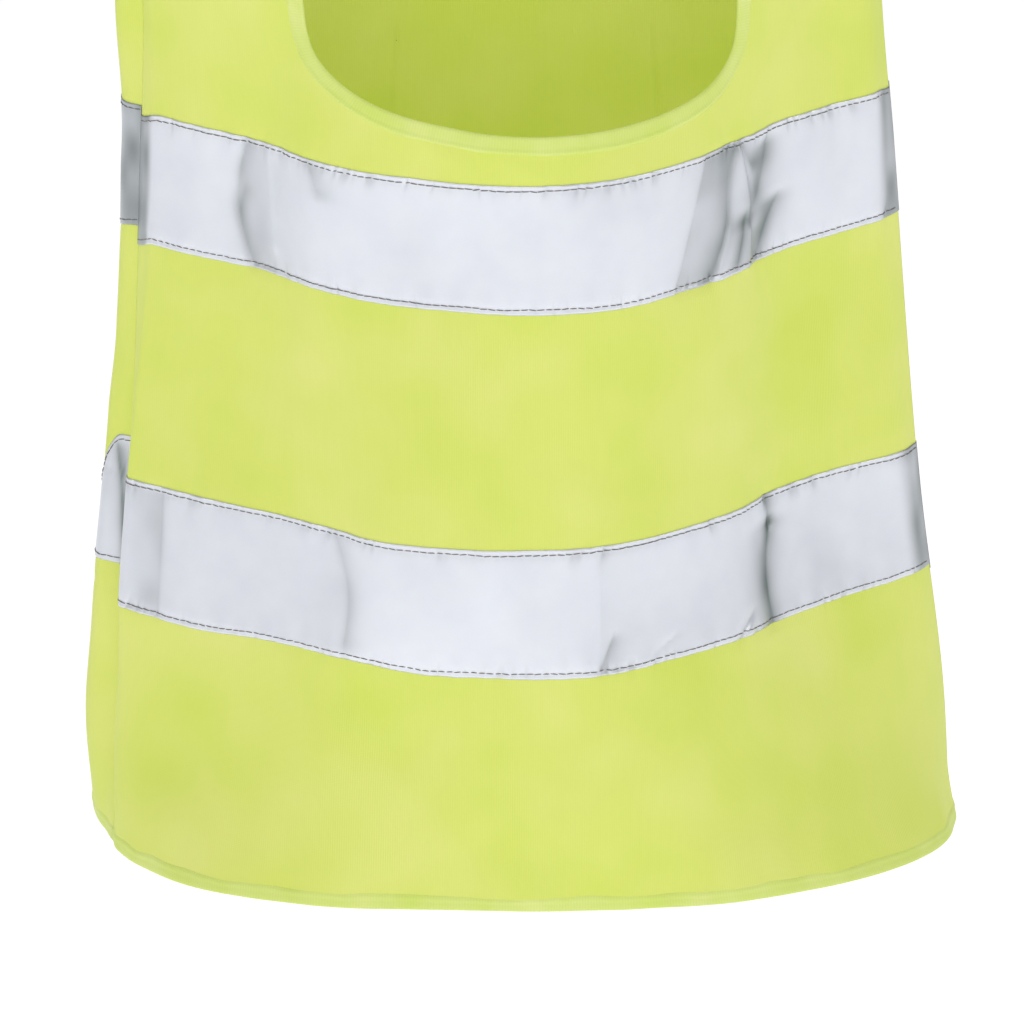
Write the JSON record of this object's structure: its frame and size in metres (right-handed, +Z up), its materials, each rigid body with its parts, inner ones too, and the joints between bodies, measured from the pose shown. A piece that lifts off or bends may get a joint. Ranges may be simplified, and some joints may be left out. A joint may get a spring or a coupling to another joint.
{
  "type": "high visibility vest",
  "caption": "Child's pull-over high visibility vest in fluorescent knit with reflective tapes round the chest and waist.",
  "frame": {"origin": "middle of the shoulder line, level with the top of the straps beside the neck, where the wearer's shoulders hold the vest", "axes": "+Z up, -Y the way the vest faces, +X towards the wearer's left"},
  "size_m": [0.32, 0.185, 0.4902],
  "materials": {
    "knit": "fluorescent yellow-green warp-knitted polyester, matt",
    "binding": "fluorescent yellow-green rib-faced knit binding, matt",
    "tape": "silver glass-bead reflective tape, satin",
    "thread": "grey-brown polyester lockstitch thread",
    "label": "white woven satin"
  },
  "bodies": {
    "vest": {"front_panel": "knit", "back_panel": "knit", "neck_band": "binding", "hem_band": "binding", "left_armhole_band": "binding", "right_armhole_band": "binding", "left_side_seam": "knit", "right_side_seam": "knit", "left_shoulder_seam": "knit", "right_shoulder_seam": "knit", "front_upper_tape": "tape", "front_lower_tape": "tape", "back_upper_tape": "tape", "back_lower_tape": "tape", "front_upper_tape_top_stitch": "thread", "front_upper_tape_bottom_stitch": "thread", "front_lower_tape_top_stitch": "thread", "front_lower_tape_bottom_stitch": "thread", "back_upper_tape_top_stitch": "thread", "back_upper_tape_bottom_stitch": "thread", "back_lower_tape_top_stitch": "thread", "back_lower_tape_bottom_stitch": "thread"},
    "size_label_flap": {"size_label": "label"},
    "care_label_flap": {"care_label": "label"}
  },
  "joints": [
    {"name": "size_label_swing", "type": "hinge", "parent": "vest", "child": "size_label_flap", "pos_m": [0, 0.056, -0.0455], "axis": [-1, 0, 0], "range_deg": [-8, 110]},
    {"name": "care_label_swing", "type": "hinge", "parent": "vest", "child": "care_label_flap", "pos_m": [0.1457, 0, -0.437], "axis": [0, 0, 1], "range_deg": [-45, 45]}
  ]
}
